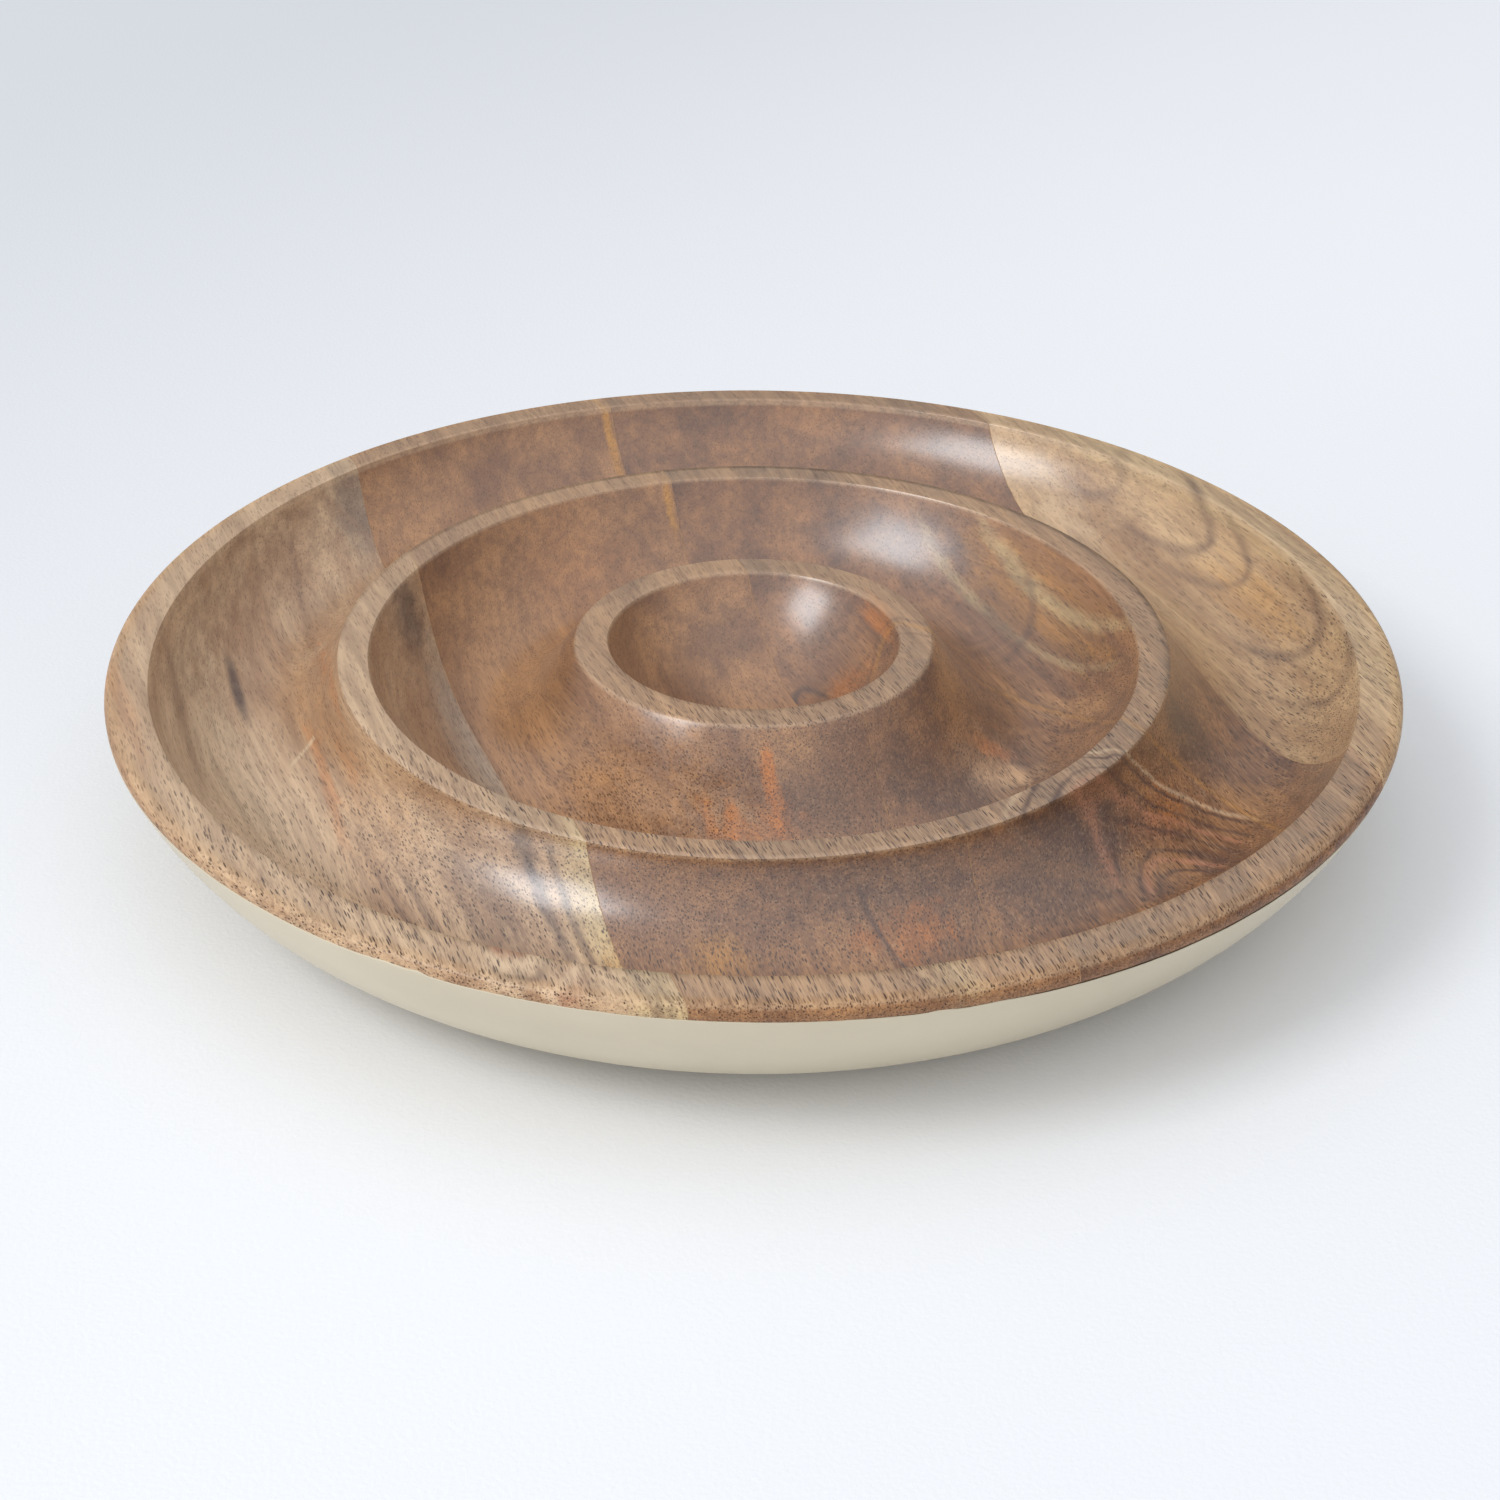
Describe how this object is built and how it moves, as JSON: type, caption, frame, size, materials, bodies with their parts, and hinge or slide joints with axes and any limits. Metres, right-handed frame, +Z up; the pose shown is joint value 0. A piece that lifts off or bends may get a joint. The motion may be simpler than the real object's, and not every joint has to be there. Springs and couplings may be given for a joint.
{
  "type": "chip and dip server",
  "caption": "Round turned hardwood serving platter with a deep dip well in the middle, ring channels round it for chips, and an enamelled underside.",
  "frame": {"origin": "middle of the flat face that the platter rests on", "axes": "+Z up along the turning axis; +X to the right and +Y away from the camera in the reference view, with the boards running 21 degrees anticlockwise of Y"},
  "size_m": [0.305, 0.305, 0.042],
  "materials": {
    "left_board_wood": "light tan straight-grained mango wood under satin clear lacquer",
    "middle_left_board_wood": "mid-brown speckled mango wood under satin clear lacquer",
    "middle_right_board_wood": "dark red-brown figured mango wood under satin clear lacquer",
    "right_board_wood": "golden tan mango wood with wide arches under satin clear lacquer",
    "wood_glue": "amber wood glue, cured and turned flush",
    "cream_enamel": "satin cream enamel paint"
  },
  "bodies": {
    "root": {"left_board": "left_board_wood", "middle_left_board": "middle_left_board_wood", "middle_right_board": "middle_right_board_wood", "right_board": "right_board_wood", "left_glue_line": "wood_glue", "middle_glue_line": "wood_glue", "right_glue_line": "wood_glue", "enamel_base": "cream_enamel", "enamel_belly": "cream_enamel"}
  },
  "joints": []
}
